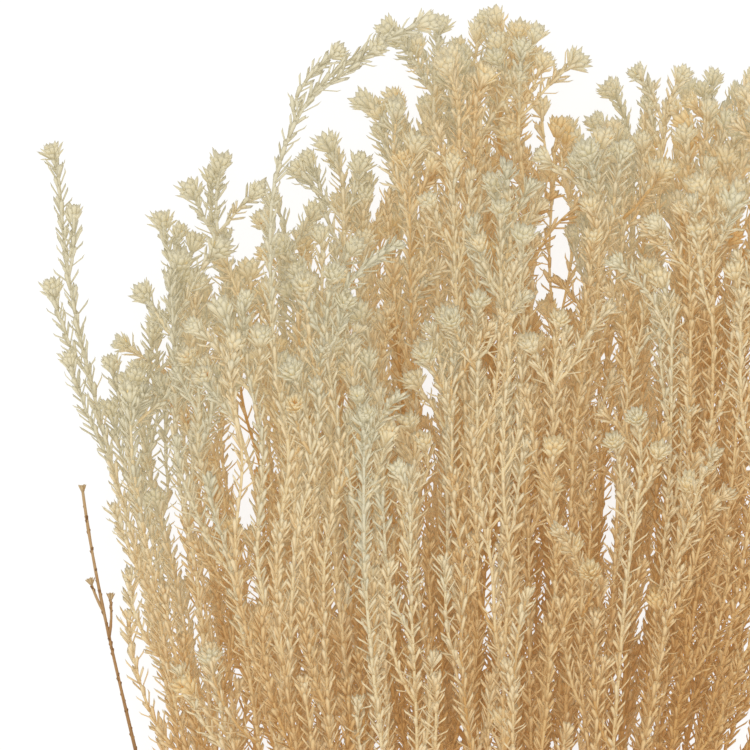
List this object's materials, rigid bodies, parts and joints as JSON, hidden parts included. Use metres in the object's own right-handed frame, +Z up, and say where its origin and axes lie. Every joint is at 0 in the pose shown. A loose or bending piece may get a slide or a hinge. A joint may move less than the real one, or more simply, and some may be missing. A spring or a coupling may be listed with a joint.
{
  "type": "dried flower bunch",
  "caption": "Tied bunch of dried staavia lying on its side: slender branched stems with needle leaves and small starry heads.",
  "frame": {"origin": "on the surface the bunch lies on, under the middle of the tie's flat underside", "axes": "+Y along the bunch from the cut ends to the crown, +Z up from the surface, +X to the right when seen from above with the crown at the top"},
  "size_m": [0.2627, 0.6768, 0.0963],
  "materials": {
    "dried_staavia": "bleached, dried and matt",
    "bare_wood": "brown bark, matt",
    "tie_latex": "plain tan elastic band"
  },
  "bodies": {
    "root": {"bare_stem": "bare_wood", "stem_01": "dried_staavia", "stem_02": "dried_staavia", "stem_03": "dried_staavia", "stem_04": "dried_staavia", "stem_05": "dried_staavia", "stem_06": "dried_staavia", "stem_07": "dried_staavia", "stem_08": "dried_staavia", "stem_09": "dried_staavia", "stem_10": "dried_staavia", "stem_11": "dried_staavia", "stem_12": "dried_staavia", "stem_13": "dried_staavia", "stem_14": "dried_staavia", "stem_15": "dried_staavia", "stem_16": "dried_staavia", "stem_17": "dried_staavia", "stem_18": "dried_staavia", "stem_19": "dried_staavia", "stem_20": "dried_staavia", "stem_21": "dried_staavia", "stem_22": "dried_staavia", "stem_24": "dried_staavia", "stem_25": "dried_staavia", "stem_26": "dried_staavia", "stem_27": "dried_staavia", "stem_28": "dried_staavia", "stem_29": "dried_staavia", "stem_30": "dried_staavia", "stem_31": "dried_staavia", "stem_32": "dried_staavia", "stem_33": "dried_staavia", "stem_34": "dried_staavia", "stem_35": "dried_staavia", "stem_36": "dried_staavia", "stem_37": "dried_staavia", "tie": "tie_latex"}
  },
  "joints": []
}
